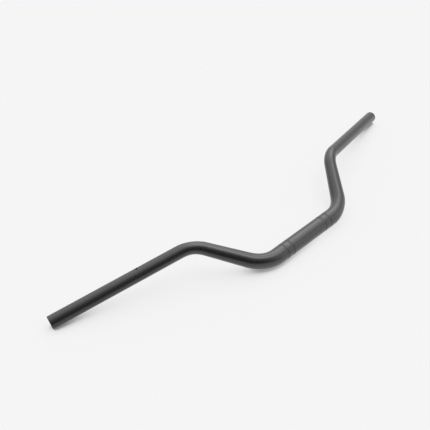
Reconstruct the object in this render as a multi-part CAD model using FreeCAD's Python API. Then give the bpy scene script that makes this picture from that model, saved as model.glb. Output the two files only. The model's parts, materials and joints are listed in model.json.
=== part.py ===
"""A bicycle handlebar: one aluminium tube, tapered from its clamp to its grips and bent twice on each side.

The frame's origin is the middle of the clamp and X runs along the clamp. The bar lies as it comes to rest on a
floor: on the underside of the clamp and on the lower rims of its two cut ends, with the knees raised between them.
"""
import FreeCAD, Part
import math
import os
from FreeCAD import Placement, Rotation, Vector

# The tube, in millimetres
clamp_diameter = 28.6
grip_diameter = 22.2
clamp_wall = 2.6
grip_wall = 2.0

# The corners of the centre line, before they are rounded, and the bends that round them
shoulder_span = 202.0
knee_span = 360.0
knee_setback = 89.5
knee_rise = 40.5
tip_span = 840.0
tip_setback = 158.0
shoulder_radius = 65.0
knee_radius = 60.0
bend_flattening = 0.05

# The two turned rings that mark the clamp on each side
ring_places = (43.0, 57.5)
ring_width = 2.5
ring_depth = 0.25

# The hole that locates a control on the left grip
hole_diameter = 4.5
hole_from_tip = 155.2
hole_lean = 14.0

# The broken edges of the cut ends
rim_chamfer = 0.5

# How far a cutting tool runs past the surface that it cuts
overrun = 1.0

# How finely a bend is sectioned, and the degree of the curves through its sections
bend_sections = 7
bend_degree = 3

clamp_radius = clamp_diameter / 2
grip_radius = grip_diameter / 2
clamp_bore_radius = clamp_radius - clamp_wall
grip_bore_radius = grip_radius - grip_wall


class Bend:
    """The arc that rounds one corner of the centre line, tangent to the runs before and after it."""

    def __init__(self, before, corner, after, radius):
        self.way_in = (corner - before).normalize()
        self.way_out = (after - corner).normalize()
        self.turn = self.way_in.getAngle(self.way_out)
        self.radius = radius
        setback = radius * math.tan(self.turn / 2)
        self.start = corner - self.way_in * setback
        self.end = corner + self.way_out * setback
        self.axis = self.way_in.cross(self.way_out).normalize()
        self.centre = self.start + self.axis.cross(self.way_in) * radius
        self.length = radius * self.turn

    def place(self, share):
        """The frame of the cross-section at a share of the bend: X along the bend's axis, Z along the tube."""
        spin = Rotation(self.axis, math.degrees(self.turn * share))
        along = spin.multVec(self.way_in)
        point = self.centre + spin.multVec(self.start - self.centre)
        return Placement(point, Rotation(self.axis, along.cross(self.axis), along, "ZXY"))


def tip_at_rest(knee):
    """The middle of the right-hand cut end, as high as it is when its lower rim lies on the clamp's floor."""
    run = math.hypot(tip_span / 2 - knee.x, tip_setback - knee.y)
    height = grip_radius - clamp_radius
    for _ in range(20):
        fall = math.atan2(knee.z - height, run)
        height = grip_radius * math.cos(fall) - rim_chamfer * math.sin(fall) - clamp_radius
    return Vector(tip_span / 2, tip_setback, height)


middle = Vector(0, 0, 0)
shoulder_corner = Vector(shoulder_span / 2, 0, 0)
knee_corner = Vector(knee_span / 2, knee_setback, knee_rise)
tip = tip_at_rest(knee_corner)
shoulder = Bend(middle, shoulder_corner, knee_corner, shoulder_radius)
knee = Bend(shoulder_corner, knee_corner, tip, knee_radius)
grip_way = knee.way_out

# The taper runs along the tube through the shoulder bend and the arm, to where the knee bend starts
arm_length = (knee.start - shoulder.end).Length
taper_length = shoulder.length + arm_length


def along_taper(at_clamp, at_grip, distance):
    """A radius at a distance along the taper, which is even from the clamp's radius to the grip's."""
    return at_clamp + (at_grip - at_clamp) * distance / taper_length


def straight(start, end, start_radius, end_radius):
    """A round bar between two points, a cylinder where its radii are the same and a cone where they differ."""
    way = end - start
    if start_radius == end_radius:
        return Part.makeCylinder(start_radius, way.Length, start, way)
    return Part.makeCone(start_radius, end_radius, way.Length, start, way)


def flattened(place, radius, squeeze):
    """The outline of a bend's cross-section, in an inner and an outer half.

    It is a circle that bending squeezes across the bend and widens along the bend's axis.
    """
    if squeeze == 0:
        outline = Part.Circle(Vector(0, 0, 0), Vector(0, 0, 1), radius)
    else:
        wide = Vector(radius * (1 + squeeze / 2), 0, 0)
        narrow = Vector(0, radius * (1 - squeeze), 0)
        outline = Part.Ellipse(wide, narrow, Vector(0, 0, 0))
    halves = [outline.toShape(0, math.pi), outline.toShape(math.pi, 2 * math.pi)]
    for half in halves:
        half.Placement = place
    return Part.Wire(halves)


def bent(bend, start_radius, end_radius):
    """A round bar through a bend, flattest in the middle of the bend."""
    outlines = []
    for step in range(bend_sections):
        share = step / (bend_sections - 1)
        radius = start_radius + (end_radius - start_radius) * share
        squeeze = 0 if share in (0, 1) else bend_flattening * math.sin(math.pi * share) ** 2
        outlines.append(flattened(bend.place(share), radius, squeeze))
    return Part.makeLoft(outlines, True, False, False, bend_degree)


def tube_core(at_clamp, at_grip, past_tip):
    """A solid bar along the whole centre line, with its radii at the clamp and at the grips."""
    out_of_shoulder = along_taper(at_clamp, at_grip, shoulder.length)
    half = [
        bent(shoulder, at_clamp, out_of_shoulder),
        straight(shoulder.end, knee.start, out_of_shoulder, at_grip),
        bent(knee, at_grip, at_grip),
        straight(knee.end, tip + grip_way * past_tip, at_grip, at_grip),
    ]
    mirrored = [piece.mirror(middle, Vector(1, 0, 0)) for piece in half]
    clamp = straight(shoulder.start * -1, shoulder.start, at_clamp, at_clamp)
    return clamp.multiFuse(half + mirrored)


def clamp_ring(place):
    """The tool that turns one shallow ring round the clamp."""
    start = Vector(place - ring_width / 2, 0, 0)
    way = Vector(1, 0, 0)
    blank = Part.makeCylinder(clamp_radius + overrun, ring_width, start, way)
    return blank.cut(Part.makeCylinder(clamp_radius - ring_depth, ring_width, start, way))


def locating_hole():
    """The drill for the hole in the top of the left grip, which leans away from the clamp's front."""
    left_tip = Vector(-tip.x, tip.y, tip.z)
    left_way = Vector(-grip_way.x, grip_way.y, grip_way.z)
    foot = left_tip - left_way * hole_from_tip
    level = left_way.cross(Vector(0, 0, 1)).normalize()
    upright = level.cross(left_way)
    out = Rotation(left_way, hole_lean).multVec(upright)
    return Part.makeCylinder(hole_diameter / 2, grip_radius + overrun, foot, out)


def cut_end_rims(tube):
    """The outer and inner edges of the two cut ends."""
    ends = (tip, Vector(-tip.x, tip.y, tip.z))
    return [
        edge
        for edge in tube.Edges
        for end in ends
        if edge.CenterOfMass.distanceToPoint(end) < rim_chamfer
    ]


def handlebar():
    """The whole tube, bored through, with its rings, its hole and its broken edges."""
    tube = tube_core(clamp_radius, grip_radius, 0)
    tube = tube.cut(tube_core(clamp_bore_radius, grip_bore_radius, overrun))
    tube = tube.makeChamfer(rim_chamfer, cut_end_rims(tube))
    rings = [clamp_ring(side * place) for place in ring_places for side in (-1, 1)]
    return tube.cut(rings + [locating_hole()]).Solids[0]


os.makedirs("parts", exist_ok=True)
handlebar().exportStep("parts/handlebar.step")
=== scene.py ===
"""A satin black bicycle handlebar, dressed for a studio picture.

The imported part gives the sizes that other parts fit: the clamp, the grips, the bores and the locating hole.
The corners and bends of the centre line are repeated here, and a rule built of geometry nodes sweeps the
tube's section along it. Lengths are in metres and angles in degrees.
"""
import json
import logging
import math
from dataclasses import dataclass
from enum import Enum
from typing import Any, Optional, Sequence, Union

import bpy
from mathutils import Matrix, Quaternion, Vector

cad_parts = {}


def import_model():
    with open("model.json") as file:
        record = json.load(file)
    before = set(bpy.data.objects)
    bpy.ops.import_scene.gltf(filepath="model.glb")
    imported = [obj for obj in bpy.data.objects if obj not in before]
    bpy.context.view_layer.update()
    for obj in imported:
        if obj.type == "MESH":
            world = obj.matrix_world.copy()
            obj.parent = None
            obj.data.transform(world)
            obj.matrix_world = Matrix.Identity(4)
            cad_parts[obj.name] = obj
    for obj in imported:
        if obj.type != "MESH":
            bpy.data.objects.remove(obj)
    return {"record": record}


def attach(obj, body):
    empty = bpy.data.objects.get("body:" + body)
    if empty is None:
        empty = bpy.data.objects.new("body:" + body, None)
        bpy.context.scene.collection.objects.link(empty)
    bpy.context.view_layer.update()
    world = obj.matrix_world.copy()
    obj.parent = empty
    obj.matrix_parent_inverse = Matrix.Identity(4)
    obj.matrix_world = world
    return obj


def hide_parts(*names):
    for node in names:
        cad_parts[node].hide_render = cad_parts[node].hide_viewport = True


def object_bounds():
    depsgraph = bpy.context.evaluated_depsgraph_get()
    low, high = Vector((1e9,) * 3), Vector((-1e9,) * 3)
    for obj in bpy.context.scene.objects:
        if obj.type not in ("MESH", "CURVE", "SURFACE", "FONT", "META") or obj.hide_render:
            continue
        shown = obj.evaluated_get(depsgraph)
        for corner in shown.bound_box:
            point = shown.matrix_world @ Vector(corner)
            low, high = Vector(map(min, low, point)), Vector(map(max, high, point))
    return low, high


frame: dict[str, Any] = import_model()
cad_box: tuple[Vector, Vector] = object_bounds()

log = logging.getLogger("handlebar")

MILLIMETRE = 0.001
UP = Vector((0.0, 0.0, 1.0))

Number = Union["Socket", float, int]


class Wall(Enum):
    """The wall of the tube that a station shapes."""

    OUTER = 0.0
    BORE = 1.0


class Socket:
    """One output of a node, on which maths is written as an expression."""

    def __init__(self, board: "Board", node: bpy.types.Node, key: Union[str, int] = 0) -> None:
        """Wraps a node's output.

        Args:
            board: The board that the node is on.
            node: The node.
            key: The output's identifier, name or place.
        """
        self.board = board
        self.node = node
        self.key = key

    @property
    def output(self) -> bpy.types.NodeSocket:
        """The node's output."""
        return Board.pick(self.node.outputs, self.key)

    def __add__(self, other: Number) -> "Socket":
        """This plus another."""
        return self.board.maths("ADD", self, other)

    def __radd__(self, other: Number) -> "Socket":
        """Another plus this."""
        return self.board.maths("ADD", other, self)

    def __sub__(self, other: Number) -> "Socket":
        """This less another."""
        return self.board.maths("SUBTRACT", self, other)

    def __rsub__(self, other: Number) -> "Socket":
        """Another less this."""
        return self.board.maths("SUBTRACT", other, self)

    def __mul__(self, other: Number) -> "Socket":
        """This times another."""
        return self.board.maths("MULTIPLY", self, other)

    def __rmul__(self, other: Number) -> "Socket":
        """Another times this."""
        return self.board.maths("MULTIPLY", other, self)

    def __truediv__(self, other: Number) -> "Socket":
        """This divided by another."""
        return self.board.maths("DIVIDE", self, other)

    def __rtruediv__(self, other: Number) -> "Socket":
        """Another divided by this."""
        return self.board.maths("DIVIDE", other, self)

    def __abs__(self) -> "Socket":
        """This without its sign."""
        return self.board.maths("ABSOLUTE", self)


class Board:
    """A node tree, with one way to add a node to it."""

    def __init__(self, tree: bpy.types.NodeTree) -> None:
        """Wraps a node tree.

        Args:
            tree: The tree that gets the nodes.
        """
        self.tree = tree

    def add(
        self,
        kind: str,
        settings: Optional[dict[str, Any]] = None,
        inputs: Optional[dict[Union[str, int], Any]] = None,
        output: Union[str, int] = 0,
    ) -> Socket:
        """Adds one node.

        Args:
            kind: The node's type.
            settings: The node's own settings, which are set first.
            inputs: What its sockets get, by identifier, name or place: a socket to link or a value.
            output: The output to give back, by identifier, name or place.

        Returns:
            That output.
        """
        node = self.tree.nodes.new(kind)
        for name, value in (settings or {}).items():
            setattr(node, name, value)
        for key, value in (inputs or {}).items():
            self.feed(self.pick(node.inputs, key), value)
        return Socket(self, node, output)

    @staticmethod
    def pick(sockets: Any, key: Union[str, int]) -> bpy.types.NodeSocket:
        """One of a node's sockets, by identifier, name or place."""
        by_identifier = {socket.identifier: socket for socket in sockets}
        return by_identifier[key] if key in by_identifier else sockets[key]

    def feed(self, socket: bpy.types.NodeSocket, value: Any) -> None:
        """Links a socket to an input, or sets the input's own value.

        Args:
            socket: The input.
            value: The socket to link, or the value.
        """
        if isinstance(value, Socket):
            self.tree.links.new(value.output, socket)
        else:
            socket.default_value = value

    def maths(self, operation: str, *operands: Number) -> Socket:
        """A Math node on numbers."""
        return self.add("ShaderNodeMath", {"operation": operation}, dict(enumerate(operands)))

    def vector(self, operation: str, *operands: Any, output: str = "Vector") -> Socket:
        """A Vector Math node on vectors."""
        return self.add("ShaderNodeVectorMath", {"operation": operation}, dict(enumerate(operands)), output)

    def scaled(self, vector: Socket, factor: Number) -> Socket:
        """A vector times a number."""
        return self.add("ShaderNodeVectorMath", {"operation": "SCALE"}, {0: vector, "Scale": factor})

    def ramp(self, value: Number, low: Number, high: Number) -> Socket:
        """A number from 0 where a value is at its low mark to 1 at its high mark, and no further."""
        inputs = {"Value": value, "From Min": low, "From Max": high}
        return self.add("ShaderNodeMapRange", {"clamp": True}, inputs)


class Rule(Board):
    """A geometry node tree with named inputs, which turns one mesh into a plain mesh."""

    def __init__(self, name: str) -> None:
        """Makes an empty tree.

        Args:
            name: The tree's name.
        """
        super().__init__(bpy.data.node_groups.new(name, "GeometryNodeTree"))
        self.tree.interface.new_socket("Geometry", in_out="INPUT", socket_type="NodeSocketGeometry")
        self.tree.interface.new_socket("Geometry", in_out="OUTPUT", socket_type="NodeSocketGeometry")
        self.given = self.tree.nodes.new("NodeGroupInput")
        self.values: dict[str, Any] = {}
        self.material: Optional[bpy.types.Material] = None

    def geometry(self) -> Socket:
        """The mesh that the tree is given."""
        return Socket(self, self.given, "Geometry")

    def size(self, name: str, value: Any, kind: str = "NodeSocketFloat") -> Socket:
        """Adds a named input.

        Args:
            name: The input's name.
            value: What the modifier sets it to.
            kind: The kind of socket.

        Returns:
            The input, for use in the tree.
        """
        made = self.tree.interface.new_socket(name, in_out="INPUT", socket_type=kind)
        self.values[made.identifier] = value
        return Socket(self, self.given, name)

    def attribute(self, name: str, kind: str = "FLOAT") -> Socket:
        """An attribute of the mesh, by name."""
        return self.add("GeometryNodeInputNamedAttribute", {"data_type": kind}, {"Name": name})

    def keep(self, geometry: Socket, name: str, value: Socket, kind: str) -> Socket:
        """Keeps a point's value as a named attribute of the faces' corners, which drilling leaves whole.

        Args:
            geometry: The mesh.
            name: The attribute's name.
            value: What it holds, worked out for each point.
            kind: The kind of value.

        Returns:
            The mesh with the attribute.
        """
        on_points = {"data_type": kind, "domain": "POINT"}
        on_corners = {"data_type": kind, "domain": "CORNER"}
        at_point = self.add("GeometryNodeFieldOnDomain", on_points, {"Value": value})
        inputs = {"Geometry": geometry, "Name": name, "Value": at_point}
        return self.add("GeometryNodeStoreNamedAttribute", on_corners, inputs)

    def finish(self, geometry: Socket, material: bpy.types.Material) -> None:
        """Ends the tree with a plain mesh in one material.

        Args:
            geometry: What the tree made.
            material: Its material.
        """
        self.material = material
        plain = self.add("GeometryNodeRealizeInstances", inputs={"Geometry": geometry})
        dressed = self.add("GeometryNodeSetMaterial", inputs={"Geometry": plain, "Material": material})
        self.add("NodeGroupOutput", inputs={"Geometry": dressed})

    def bake(self, source: bpy.types.Mesh, name: str) -> bpy.types.Object:
        """Runs the tree on a mesh and keeps the result as a plain mesh.

        Args:
            source: The mesh that the tree works on.
            name: The name of the piece that it makes.

        Returns:
            The piece, at the origin, with no modifier.
        """
        piece = bpy.data.objects.new(name, source)
        bpy.context.scene.collection.objects.link(piece)
        modifier = piece.modifiers.new(self.tree.name, "NODES")
        modifier.node_group = self.tree
        for identifier, value in self.values.items():
            modifier[identifier] = value
        graph = bpy.context.evaluated_depsgraph_get()
        made = bpy.data.meshes.new_from_object(piece.evaluated_get(graph), depsgraph=graph)
        piece.modifiers.remove(modifier)
        piece.data = made
        made.name = name
        made.materials.clear()
        made.materials.append(self.material)
        bpy.data.meshes.remove(source)
        return piece


@dataclass(frozen=True)
class SatinBlack:
    """A blasted and black anodised finish, dull in the turned rings and drawn inside the bore.

    Scales are in features a metre, and depths are those of the bumps.
    """

    ring_places: tuple[float, ...]
    ring_width: float
    half_length: float
    colour: tuple[float, float, float] = (0.0095, 0.0095, 0.0100)
    pale_colour: tuple[float, float, float] = (0.0115, 0.0115, 0.0120)
    roughness: float = 0.27
    cloudiness: float = 0.04
    streakiness: float = 0.03
    bore_roughness: float = 0.16
    index: float = 1.77
    cloud_scale: float = 45.0
    grain_scale: float = 1800.0
    streak_scale: tuple[float, float, float] = (14.0, 700.0, 700.0)
    grain_depth: float = 0.000008
    line_depth: float = 0.00006
    end_pitch: float = 0.0003
    end_depth: float = 0.00001
    ring_roughness: float = 0.20
    knurl_count: int = 112
    knurl_pitch: float = 0.0008
    knurl_depth: float = 0.00001
    ring_margin: float = 0.0022
    ring_fade: float = 0.0019
    noise_detail: float = 3.0
    noise_roughness: float = 0.55
    noise_middle: float = 0.5

    def material(self) -> bpy.types.Material:
        """Builds the finish.

        Returns:
            The material.
        """
        made = bpy.data.materials.new("satin_black")
        made.use_nodes = True
        made.node_tree.nodes.clear()
        board = Board(made.node_tree)
        straight = board.add("ShaderNodeAttribute", {"attribute_name": "straight"}, output="Vector")
        bore = board.add("ShaderNodeAttribute", {"attribute_name": "bore"}, output="Fac")
        along, across, up = self.parts(board, straight)
        streaks = self.noise(board, board.vector("MULTIPLY", straight, self.streak_scale), 1.0)
        ring = self.ring_mask(board, along) * (1 - bore)
        lines = self.end_lines(board, along, across, up) + ring * self.knurl(board, along, across, up)
        satin = self.satin(board, bore, streaks, ring, lines)
        board.add("ShaderNodeOutputMaterial", inputs={"Surface": satin})
        return made

    @staticmethod
    def parts(board: Board, vector: Socket) -> tuple[Socket, ...]:
        """The three numbers of a vector."""
        node = board.add("ShaderNodeSeparateXYZ", inputs={0: vector}).node
        return tuple(Socket(board, node, key) for key in "XYZ")

    def noise(self, board: Board, place: Socket, scale: float) -> Socket:
        """A soft noise about its middle value.

        Args:
            board: The material's board.
            place: The coordinates that it follows.
            scale: Its scale.

        Returns:
            The noise.
        """
        inputs = {
            "Vector": place,
            "Scale": scale,
            "Detail": self.noise_detail,
            "Roughness": self.noise_roughness,
        }
        return board.add("ShaderNodeTexNoise", inputs=inputs, output="Fac")

    def satin(self, board: Board, bore: Socket, streaks: Socket, ring: Socket, lines: Socket) -> Socket:
        """The finish itself: cloudy and finely grained outside, duller on the rings, drawn in lines inside.

        Args:
            board: The material's board.
            bore: 1 in the bore and 0 outside.
            streaks: Noise drawn out along the tube.
            ring: 1 on the turned rings and 0 elsewhere.
            lines: The height of the lines that the cut ends and the rings were turned with.

        Returns:
            The shader.
        """
        place = board.add("ShaderNodeTexCoord", output="Object")
        clouds = self.noise(board, place, self.cloud_scale)
        grain = self.noise(board, place, self.grain_scale)
        colour = board.add(
            "ShaderNodeMix",
            {"data_type": "RGBA"},
            {"Factor_Float": clouds, "A_Color": (*self.colour, 1.0), "B_Color": (*self.pale_colour, 1.0)},
            "Result_Color",
        )
        uneven = (clouds - self.noise_middle) * self.cloudiness
        uneven = uneven + (streaks - self.noise_middle) * self.streakiness
        roughness = uneven + bore * self.bore_roughness + ring * self.ring_roughness + self.roughness
        height = (1 - bore) * grain * self.grain_depth + bore * streaks * self.line_depth + lines
        bump = board.add("ShaderNodeBump", inputs={"Strength": 1.0, "Distance": 1.0, "Height": height})
        inputs = {"Base Color": colour, "Roughness": roughness, "IOR": self.index, "Normal": bump}
        return board.add("ShaderNodeBsdfPrincipled", inputs=inputs)

    def end_lines(self, board: Board, along: Socket, across: Socket, up: Socket) -> Socket:
        """The height of the fine rings on the cut ends, and nothing elsewhere.

        Args:
            board: The material's board.
            along: The distance from the middle of the clamp, along the tube.
            across: The level distance from the centre line.
            up: The upright distance from the centre line.

        Returns:
            The height.
        """
        reach = board.maths("SQRT", across * across + up * up)
        lines = board.maths("SINE", reach * (math.tau / self.end_pitch))
        on_end = board.maths("GREATER_THAN", abs(along), self.half_length - self.end_depth)
        return lines * on_end * self.end_depth

    def knurl(self, board: Board, along: Socket, across: Socket, up: Socket) -> Socket:
        """The height of a diamond knurl round the clamp.

        Args:
            board: The material's board.
            along: The distance from the middle of the clamp, along the tube.
            across: The level distance from the centre line.
            up: The upright distance from the centre line.

        Returns:
            The height.
        """
        turn = board.maths("ARCTAN2", across, up) * self.knurl_count
        run = along * (math.tau / self.knurl_pitch)
        return board.maths("SINE", turn + run) * board.maths("SINE", turn - run) * self.knurl_depth

    def ring_mask(self, board: Board, along: Socket) -> Socket:
        """Where the turned rings are.

        Args:
            board: The material's board.
            along: The distance from the middle of the clamp, along the tube.

        Returns:
            1 on the rings and 0 elsewhere, fading out beside them.
        """
        total: Number = 0.0
        for place in self.ring_places:
            off = abs(abs(along) - place)
            total = board.ramp(self.ring_width / 2 + self.ring_margin - off, 0.0, self.ring_fade) + total
        return total


@dataclass(frozen=True)
class Bend:
    """The arc that rounds one corner of the centre line, tangent to the runs before and after it."""

    before: Vector
    corner: Vector
    after: Vector
    radius: float

    @property
    def way_in(self) -> Vector:
        """The way along the run before the bend."""
        return (self.corner - self.before).normalized()

    @property
    def way_out(self) -> Vector:
        """The way along the run after the bend."""
        return (self.after - self.corner).normalized()

    @property
    def turn(self) -> float:
        """The angle that the bend turns the tube through."""
        return self.way_in.angle(self.way_out)

    @property
    def axis(self) -> Vector:
        """The axis that the bend turns about."""
        return self.way_in.cross(self.way_out).normalized()

    @property
    def start(self) -> Vector:
        """Where the bend starts."""
        return self.corner - self.way_in * (self.radius * math.tan(self.turn / 2))

    @property
    def length(self) -> float:
        """The bend's length along the centre line."""
        return self.radius * self.turn

    def place(self, distance: float) -> tuple[Vector, Vector]:
        """The centre line at a distance into the bend.

        Args:
            distance: How far into the bend.

        Returns:
            The point, and the way along the tube there.
        """
        spin = Quaternion(self.axis, distance / self.radius)
        centre = self.start + self.axis.cross(self.way_in) * self.radius
        return centre + spin @ (self.start - centre), spin @ self.way_in


@dataclass(frozen=True)
class Station:
    """One section of the tube: how far along it is, on which wall, and how its radius is trimmed."""

    along: float
    wall: Wall
    trim: float = 0.0


def mount(name: str) -> dict[str, Any]:
    """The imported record's mount of that name."""
    return next(found for found in frame["record"]["mounts"] if found["name"] == name)


def mount_radius(name: str) -> float:
    """The radius of a round mount, in metres."""
    return mount(name)["dims"]["r_mm"] * MILLIMETRE


@dataclass
class Handlebar:
    """The tube, from its clamp through a shoulder and a knee on each side to its grips."""

    clamp_wall: float = 0.0026
    shoulder_span: float = 0.202
    knee_span: float = 0.360
    knee_setback: float = 0.0895
    knee_rise: float = 0.0405
    shoulder_radius: float = 0.065
    knee_radius: float = 0.060
    bend_flattening: float = 0.05
    ring_places: tuple[float, float] = (0.043, 0.0575)
    ring_width: float = 0.0025
    ring_depth: float = 0.00025
    ring_flank: float = 0.0007
    rim_chamfer: float = 0.0005
    sides: int = 96
    run_step: float = 0.004
    bend_step: float = 0.002
    drill_depth: float = 0.008
    drill_sides: int = 48
    merge_distance: float = 1e-7
    sharp_angle: float = 25.0

    def __post_init__(self) -> None:
        """Works out the centre line of the right half, from the middle of the clamp to the cut end."""
        grip = mount("right_grip")
        self.clamp_radius = mount_radius("stem_clamp")
        self.grip_radius = mount_radius("right_grip")
        self.grip_wall = self.grip_radius - mount_radius("right_bar_end")
        grip_way = Vector(grip["axis"]).normalized()
        reach = grip["dims"]["length_mm"] * MILLIMETRE / 2 + self.rim_chamfer
        tip = Vector(grip["pos_m"]) + grip_way * reach
        shoulder_corner = Vector((self.shoulder_span / 2, 0.0, 0.0))
        knee_corner = Vector((self.knee_span / 2, self.knee_setback, self.knee_rise))
        self.shoulder = Bend(Vector(), shoulder_corner, knee_corner, self.shoulder_radius)
        self.knee = Bend(shoulder_corner, knee_corner, tip, self.knee_radius)
        shoulder_end = self.shoulder.place(self.shoulder.length)[0]
        knee_end = self.knee.place(self.knee.length)[0]
        self.shoulder_from = self.shoulder.start.x
        self.shoulder_to = self.shoulder_from + self.shoulder.length
        self.knee_from = self.shoulder_to + (self.knee.start - shoulder_end).length
        self.knee_to = self.knee_from + self.knee.length
        self.half_length = self.knee_to + (tip - knee_end).length

    def centre_line(self, along: float) -> tuple[Vector, Vector, Vector]:
        """The centre line at a distance from the middle of the clamp, to the left if it is negative.

        Args:
            along: The distance, along the tube.

        Returns:
            The point, the way along the tube there, and the axis of the bend that is there or nearest.
        """
        far = abs(along)
        bend, into = (self.shoulder, far - self.shoulder_from)
        if far > (self.shoulder_to + self.knee_from) / 2:
            bend, into = (self.knee, far - self.knee_from)
        point, way = bend.place(min(max(into, 0.0), bend.length))
        point = point + way * (into - min(max(into, 0.0), bend.length))
        axis = bend.axis
        if along < 0:
            point = Vector((-point.x, point.y, point.z))
            way = Vector((way.x, -way.y, -way.z))
            axis = Vector((-axis.x, axis.y, axis.z))
        return point, way, axis

    def half_marks(self, fine: bool) -> list[float]:
        """The distances along the right half at which the tube gets a section.

        Args:
            fine: Whether the turned rings get their own sections.

        Returns:
            The distances, from the middle of the clamp to where the rim starts.
        """
        ends = [0.0, self.shoulder_from, self.shoulder_to, self.knee_from, self.knee_to]
        ends.append(self.half_length - self.rim_chamfer)
        steps = [self.run_step, self.bend_step, self.run_step, self.bend_step, self.run_step]
        marks = [0.0]
        for start, end, step in zip(ends, ends[1:], steps):
            count = math.ceil((end - start) / step)
            marks += [start + (end - start) * (index + 1) / count for index in range(count)]
        if fine:
            marks += [mark for place in self.ring_places for mark in self.ring_marks(place)]
        return sorted(marks)

    def ring_marks(self, place: float) -> list[float]:
        """The edges of one turned ring, the feet of its flanks, and as far outside the edges."""
        half = self.ring_width / 2
        return [place + side * half + step * self.ring_flank for side in (-1, 1) for step in (-1, 0, 1)]

    def stations(self) -> list[Station]:
        """The sections in one closed round: out along the outer wall, over a rim and back along the bore.

        Returns:
            The stations, of which the last is the first again.
        """
        tip = self.half_length
        outer = self.half_marks(fine=True)
        bore = self.half_marks(fine=False)
        out = [-mark for mark in reversed(outer[1:])] + outer
        back = list(reversed(bore)) + [-mark for mark in bore[1:]]
        first = Station(-tip, Wall.OUTER, -self.rim_chamfer)
        return [
            first,
            *(Station(along, Wall.OUTER) for along in out),
            Station(tip, Wall.OUTER, -self.rim_chamfer),
            Station(tip, Wall.BORE, self.rim_chamfer),
            *(Station(along, Wall.BORE) for along in back),
            Station(-tip, Wall.BORE, self.rim_chamfer),
            first,
        ]

    def path(self) -> bpy.types.Mesh:
        """The stations as a mesh of points that carry what the rule needs.

        Returns:
            The mesh.
        """
        stations = self.stations()
        points, level, upright, axes = [], [], [], []
        for station in stations:
            point, way, axis = self.centre_line(station.along)
            sideways = way.cross(UP).normalized()
            points.append(point)
            level.append(sideways)
            upright.append(sideways.cross(way))
            axes.append(axis)
        mesh = bpy.data.meshes.new("centre_line")
        mesh.from_pydata(points, [], [])
        self.store(mesh, "along", [station.along for station in stations])
        self.store(mesh, "bore", [station.wall.value for station in stations])
        self.store(mesh, "trim", [station.trim for station in stations])
        self.store(mesh, "level", level)
        self.store(mesh, "upright", upright)
        self.store(mesh, "bend_axis", axes)
        return mesh

    @staticmethod
    def store(mesh: bpy.types.Mesh, name: str, values: Sequence[Any]) -> None:
        """Keeps a number or a vector for each point of a mesh, as a named attribute.

        Args:
            mesh: The mesh.
            name: The attribute's name.
            values: The numbers or vectors, one for each point.
        """
        if isinstance(values[0], Vector):
            layer = mesh.attributes.new(name, "FLOAT_VECTOR", "POINT")
            layer.data.foreach_set("vector", [part for vector in values for part in vector])
        else:
            layer = mesh.attributes.new(name, "FLOAT", "POINT")
            layer.data.foreach_set("value", list(values))

    def tube_rule(self, material: bpy.types.Material) -> Rule:
        """The tree that sweeps the section along the stations and drills the hole.

        Args:
            material: The tube's finish.

        Returns:
            The tree.
        """
        rule = Rule("tube_rule")
        sides = rule.size("Sides", self.sides, "NodeSocketInt")
        stations = rule.geometry()
        count = rule.add("GeometryNodeAttributeDomainSize", {"component": "MESH"}, {"Geometry": stations})
        columns = sides + 1
        grid = rule.add("GeometryNodeMeshGrid", inputs={"Vertices X": count, "Vertices Y": columns})
        index = rule.add("GeometryNodeInputIndex")
        # half a step keeps the quotient clear of the whole number below
        row = rule.maths("FLOOR", (index + 0.5) / columns)
        angle = (index - row * columns) / sides * math.tau

        def at_row(name: str, kind: str = "FLOAT") -> Socket:
            """A station's attribute, for the point's row of the grid.

            Args:
                name: The attribute's name.
                kind: The kind of value.

            Returns:
                The value.
            """
            value = rule.attribute(name, kind)
            inputs = {"Geometry": stations, "Value": value, "Index": row}
            return rule.add("GeometryNodeSampleIndex", {"data_type": kind, "domain": "POINT"}, inputs)

        along = at_row("along")
        far = abs(along)
        bore = at_row("bore")
        radius = self.radius_law(rule, far, bore, at_row("trim"))
        squeeze = self.flattening_law(rule, far)
        level = at_row("level", "FLOAT_VECTOR")
        upright = at_row("upright", "FLOAT_VECTOR")
        axis = at_row("bend_axis", "FLOAT_VECTOR")
        spoke = rule.vector(
            "SUBTRACT",
            rule.scaled(level, rule.maths("SINE", angle) * radius),
            rule.scaled(upright, rule.maths("COSINE", angle) * radius),
        )
        way = rule.vector("CROSS_PRODUCT", level, upright)
        inward = rule.vector("CROSS_PRODUCT", axis, way)
        widen = rule.scaled(axis, rule.vector("DOT_PRODUCT", spoke, axis, output="Value") * squeeze / 2)
        narrow = rule.scaled(inward, rule.vector("DOT_PRODUCT", spoke, inward, output="Value") * squeeze)
        spoke = rule.vector("SUBTRACT", rule.vector("ADD", spoke, widen), narrow)
        place = rule.vector("ADD", at_row("position", "FLOAT_VECTOR"), spoke)
        straight = rule.add(
            "ShaderNodeCombineXYZ",
            inputs={
                "X": along,
                "Y": rule.maths("SINE", angle) * radius,
                "Z": rule.maths("COSINE", angle) * radius * -1,
            },
        )
        tube = rule.keep(grid, "straight", straight, "FLOAT_VECTOR")
        tube = rule.keep(tube, "bore", bore, "FLOAT")
        tube = rule.add("GeometryNodeSetPosition", inputs={"Geometry": tube, "Position": place})
        joining = {"Geometry": tube, "Distance": self.merge_distance}
        tube = rule.add("GeometryNodeMergeByDistance", inputs=joining)
        tube = self.drilled(rule, tube)
        tube = self.edged(rule, tube)
        rule.finish(tube, material)
        return rule

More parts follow.
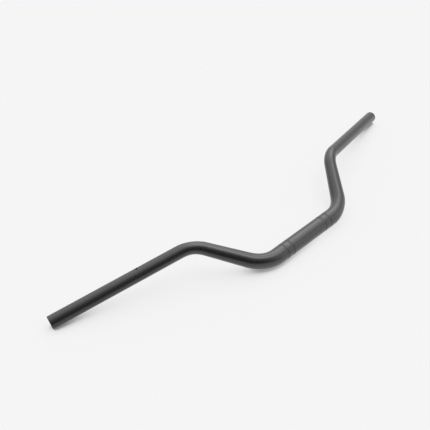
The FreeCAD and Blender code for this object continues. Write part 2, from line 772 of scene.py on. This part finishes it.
    def radius_law(self, rule: Rule, far: Socket, bore: Socket, trim: Socket) -> Socket:
        """The tube's radius: an even taper, less the wall in the bore and the depth of the turned rings.

        Args:
            rule: The tree.
            far: The distance from the middle of the clamp.
            bore: 1 in the bore and 0 outside.
            trim: What the rim adds to the radius.

        Returns:
            The radius.
        """
        clamp_radius = rule.size("Clamp radius", self.clamp_radius)
        clamp_wall = rule.size("Clamp wall", self.clamp_wall)
        grip_radius = rule.size("Grip radius", self.grip_radius)
        grip_wall = rule.size("Grip wall", self.grip_wall)
        taper_from = rule.size("Taper start", self.shoulder_from)
        taper_to = rule.size("Taper end", self.knee_from)
        half_width = rule.size("Ring width", self.ring_width) / 2
        depth = rule.size("Ring depth", self.ring_depth)
        flank = rule.size("Ring flank", self.ring_flank)
        taper = rule.ramp(far, taper_from, taper_to)
        radius = clamp_radius + taper * (grip_radius - clamp_radius)
        wall = clamp_wall + taper * (grip_wall - clamp_wall)
        for number, place in enumerate(self.ring_places):
            off = abs(far - rule.size(f"Ring place {number + 1}", place))
            radius = radius - (1 - bore) * depth * rule.ramp(half_width - off, 0.0, flank)
        return radius - bore * wall + trim

    def flattening_law(self, rule: Rule, far: Socket) -> Socket:
        """How much bending has squeezed the section: most in the middle of a bend and nothing in the runs.

        Args:
            rule: The tree.
            far: The distance from the middle of the clamp.

        Returns:
            The squeeze, as a share of the radius.
        """
        flattening = rule.size("Bend flattening", self.bend_flattening)
        spans = {
            "Shoulder": (self.shoulder_from, self.shoulder_to),
            "Knee": (self.knee_from, self.knee_to),
        }
        total: Number = 0.0
        for name, (start, end) in spans.items():
            share = rule.ramp(far, rule.size(f"{name} start", start), rule.size(f"{name} end", end))
            swell = rule.maths("SINE", share * math.pi)
            total = swell * swell + total
        return total * flattening

    def drilled(self, rule: Rule, tube: Socket) -> Socket:
        """Drills the locating hole through the top of the left grip.

        Args:
            rule: The tree.
            tube: The tube.

        Returns:
            The drilled tube.
        """
        hole = mount("control_hole")
        drill = rule.add(
            "GeometryNodeMeshCylinder",
            inputs={
                "Vertices": self.drill_sides,
                "Radius": rule.size("Hole radius", mount_radius("control_hole")),
                "Depth": rule.size("Drill depth", self.drill_depth),
            },
        )
        lean = rule.size("Hole way", hole["axis"], "NodeSocketVector")
        turn = rule.add("FunctionNodeAlignRotationToVector", {"axis": "Z"}, {"Vector": lean})
        place = rule.size("Hole place", hole["pos_m"], "NodeSocketVector")
        drill = rule.add(
            "GeometryNodeTransform", inputs={"Geometry": drill, "Translation": place, "Rotation": turn}
        )
        settings = {"operation": "DIFFERENCE", "solver": "EXACT"}
        return rule.add("GeometryNodeMeshBoolean", settings, {"Mesh 1": tube, "Mesh 2": drill})

    def edged(self, rule: Rule, tube: Socket) -> Socket:
        """Shades the tube smooth, apart from its sharp edges.

        Args:
            rule: The tree.
            tube: The tube.

        Returns:
            The shaded tube.
        """
        smooth = rule.add("GeometryNodeSetShadeSmooth", {"domain": "FACE"}, {"Geometry": tube})
        limit = rule.size("Sharp angle", math.radians(self.sharp_angle))
        sharp = rule.maths("GREATER_THAN", rule.add("GeometryNodeInputMeshEdgeAngle"), limit)
        inputs = {"Geometry": smooth, "Selection": sharp, "Shade Smooth": False}
        return rule.add("GeometryNodeSetShadeSmooth", {"domain": "EDGE"}, inputs)

    def build(self, finish: SatinBlack) -> bpy.types.Object:
        """Makes the tube and puts it in the place of the plain one.

        Args:
            finish: The tube's finish.

        Returns:
            The piece.
        """
        piece = self.tube_rule(finish.material()).bake(self.path(), "bent_tube")
        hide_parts("handlebar")
        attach(piece, "root")
        return piece


@dataclass(frozen=True)
class ProductCamera:
    """The camera, by where it looks from and what it looks at."""

    azimuth: float = -43.8118
    elevation: float = 36.5010
    roll: float = -2.9377
    aim: tuple[float, float, float] = (-0.05849, 0.15850, 0.0)
    distance: float = 1.32964
    lens: float = 61.947
    sensor: float = 36.0

    def build(self) -> bpy.types.Object:
        """Makes the camera and gives it to the scene.

        Returns:
            The camera.
        """
        data = bpy.data.cameras.new("product_camera")
        data.lens = self.lens
        data.sensor_width = self.sensor
        camera = bpy.data.objects.new("product_camera", data)
        turn, rise = math.radians(self.azimuth), math.radians(self.elevation)
        back = Vector((math.sin(turn) * math.cos(rise), -math.cos(turn) * math.cos(rise), math.sin(rise)))
        place = Vector(self.aim) + back * self.distance
        level = (-back).to_track_quat("-Z", "Y").to_matrix().to_4x4()
        tilt = Matrix.Rotation(math.radians(self.roll), 4, "Z")
        camera.matrix_world = Matrix.Translation(place) @ level @ tilt
        bpy.context.scene.collection.objects.link(camera)
        bpy.context.scene.camera = camera
        return camera


@dataclass(frozen=True)
class SoftLight:
    """One soft light, far off: its bearing from +X towards +Y, its height, and how bright and tight it is."""

    bearing: float
    height: float
    strength: float
    tightness: float

    def way(self) -> Vector:
        """The way from the bar to the middle of the light."""
        turn, rise = math.radians(self.bearing), math.radians(self.height)
        return Vector((math.cos(turn) * math.cos(rise), math.sin(turn) * math.cos(rise), math.sin(rise)))


@dataclass(frozen=True)
class Studio:
    """A pale floor under soft lights that stand to the right of the bar and behind it.

    The pool is a painted pool of light in the floor's glow, which only the bar's reflections see. The contact
    is painted shade in that glow where the bar meets the floor, and the shade fade takes that painted shade
    away by place.
    """

    floor_size: float = 40.0
    floor_colour: float = 0.913
    backdrop: float = 0.913
    backdrop_share: float = 0.82
    # painted pool of light in the floor's glow, seen only in reflections
    pool_bearing: float = 220.0
    pool_from: float = 0.06
    pool_to: float = 0.5
    pool_bright: float = 1.06
    pool_dim: float = 0.15
    # painted contact shade: how far, how dark and how hard ambient occlusion darkens the floor's glow
    contact_reach: float = 0.09
    contact_shade: float = 9.0
    contact_power: float = 5.5
    contact_most: float = 0.75
    # painted shade fade: a round mask by place round the clamp's right half, not a lamp
    shade_fade_along: float = 0.06
    shade_fade_core: float = 0.03
    shade_fade_reach: float = 0.187
    ambient: float = 0.005
    high_front: SoftLight = SoftLight(bearing=330, height=65, strength=2.53, tightness=25.0)
    high_right: SoftLight = SoftLight(bearing=29, height=44, strength=1.76, tightness=26.0)
    low_right: SoftLight = SoftLight(bearing=320, height=9, strength=1.12, tightness=7.5)
    broad_back: SoftLight = SoftLight(bearing=65, height=51, strength=1.43, tightness=2.0)

    def build(self) -> bpy.types.Object:
        """Makes the floor and the light.

        Returns:
            The floor.
        """
        bpy.context.scene.view_settings.view_transform = "Standard"
        floor = self.floor()
        self.light()
        return floor

    def floor(self) -> bpy.types.Object:
        """Makes the floor, at the height of the bar's lowest point.

        Returns:
            The floor.
        """
        half = self.floor_size / 2
        sides = ((-half, -half), (half, -half), (half, half), (-half, half))
        corners = [(*side, cad_box[0].z) for side in sides]
        mesh = bpy.data.meshes.new("studio_floor")
        mesh.from_pydata(corners, [], [(0, 1, 2, 3)])
        mesh.materials.append(self.pale_floor())
        floor = bpy.data.objects.new("studio_floor", mesh)
        bpy.context.scene.collection.objects.link(floor)
        return floor

    def pale_floor(self) -> bpy.types.Material:
        """The floor's finish, a dull grey that takes the shadow and shows partly as the backdrop's glow, into
        which painted contact shade and a painted pool of light go.

        Returns:
            The material.
        """
        made = bpy.data.materials.new("pale_floor")
        made.use_nodes = True
        made.node_tree.nodes.clear()
        board = Board(made.node_tree)
        dull = board.add("ShaderNodeBsdfDiffuse", inputs={"Color": (*[self.floor_colour] * 3, 1.0)})
        reach = {"Distance": self.contact_reach}
        # painted contact shadow: ambient occlusion darkens the floor's glow where the bar comes near
        closed = 1 - board.add("ShaderNodeAmbientOcclusion", inputs=reach, output="AO")
        shade = board.maths("POWER", closed, self.contact_power) * self.contact_shade
        contact = board.maths("MINIMUM", shade, self.contact_most) * self.painted_shade_kept(board)
        path = board.add("ShaderNodeLightPath")
        kinds = ("Is Camera Ray", "Is Glossy Ray", "Is Transmission Ray")
        camera, glossy, through = (Socket(board, path.node, kind) for kind in kinds)
        # painted light: reflections see the painted pool, and the glow carries the painted contact shade
        level = camera + (1 - camera) * self.painted_pool(board)
        grey = (1 - contact) * level * self.backdrop
        plain = board.add("ShaderNodeEmission", inputs={"Color": grey, "Strength": 1.0})
        seen = camera * self.backdrop_share + glossy + through
        mixed = board.add("ShaderNodeMixShader", inputs={0: seen, 1: dull, 2: plain})
        board.add("ShaderNodeOutputMaterial", inputs={"Surface": mixed})
        return made

    def painted_shade_kept(self, board: Board) -> Socket:
        """How much of the painted contact shade is kept, as it is faded out by place with no lamp behind it.

        Args:
            board: The floor's board.

        Returns:
            The share: 0 by the clamp's right half, and 1 farther off.
        """
        # painted shade fade: the painted contact shade is faded by distance from a given point
        place = board.add("ShaderNodeTexCoord", output="Object")
        middle = (self.shade_fade_along, 0.0, cad_box[0].z)
        off = board.vector("DISTANCE", place, middle, output="Value")
        return board.ramp(off, self.shade_fade_core, self.shade_fade_reach)

    def painted_pool(self, board: Board) -> Socket:
        """A painted pool of light in the floor's glow that the bar mirrors: it dims away from the bar towards
        the pool's bearing.

        Args:
            board: The floor's board.

        Returns:
            The brightness, as a share of the backdrop's.
        """
        # painted light: the floor's mirrored glow falls off along this bearing
        turn = math.radians(self.pool_bearing)
        place = board.add("ShaderNodeTexCoord", output="Object")
        out = board.vector("DOT_PRODUCT", place, (math.cos(turn), math.sin(turn), 0.0), output="Value")
        fall = board.ramp(out, self.pool_from, self.pool_to)
        return self.pool_bright - fall * (self.pool_bright - self.pool_dim)

    def light(self) -> None:
        """Lights the scene with the soft lights, and shows the camera the plain backdrop past the floor."""
        world = bpy.data.worlds.new("soft_lights")
        world.use_nodes = True
        world.node_tree.nodes.clear()
        board = Board(world.node_tree)
        way = board.add("ShaderNodeTexCoord", output="Generated")
        glow: Number = self.ambient
        for lamp in (self.high_front, self.high_right, self.low_right, self.broad_back):
            nearness = board.vector("DOT_PRODUCT", way, lamp.way(), output="Value")
            glow = glow + lamp.strength * board.maths("EXPONENT", (nearness - 1) * lamp.tightness)
        camera = board.add("ShaderNodeLightPath", output="Is Camera Ray")
        strength = camera * self.backdrop + (1 - camera) * glow
        inputs = {"Color": (1.0, 1.0, 1.0, 1.0), "Strength": strength}
        shown = board.add("ShaderNodeBackground", inputs=inputs)
        board.add("ShaderNodeOutputWorld", inputs={"Surface": shown})
        bpy.context.scene.world = world


def main() -> None:
    """Builds the camera, the handlebar and the studio, and reports each."""
    logging.basicConfig(level=logging.INFO, format="%(name)s: %(message)s")
    camera = ProductCamera().build()
    log.info("%s has a lens of %.1f mm", camera.name, camera.data.lens)
    bar = Handlebar()
    finish = SatinBlack(ring_places=bar.ring_places, ring_width=bar.ring_width, half_length=bar.half_length)
    piece = bar.build(finish)
    mesh = piece.data
    log.info("%s has %d points and %d faces", piece.name, len(mesh.vertices), len(mesh.polygons))
    floor = Studio().build()
    log.info("%s lies %.4f m below the clamp's axis", floor.name, -cad_box[0].z)


if __name__ == "__main__":
    main()
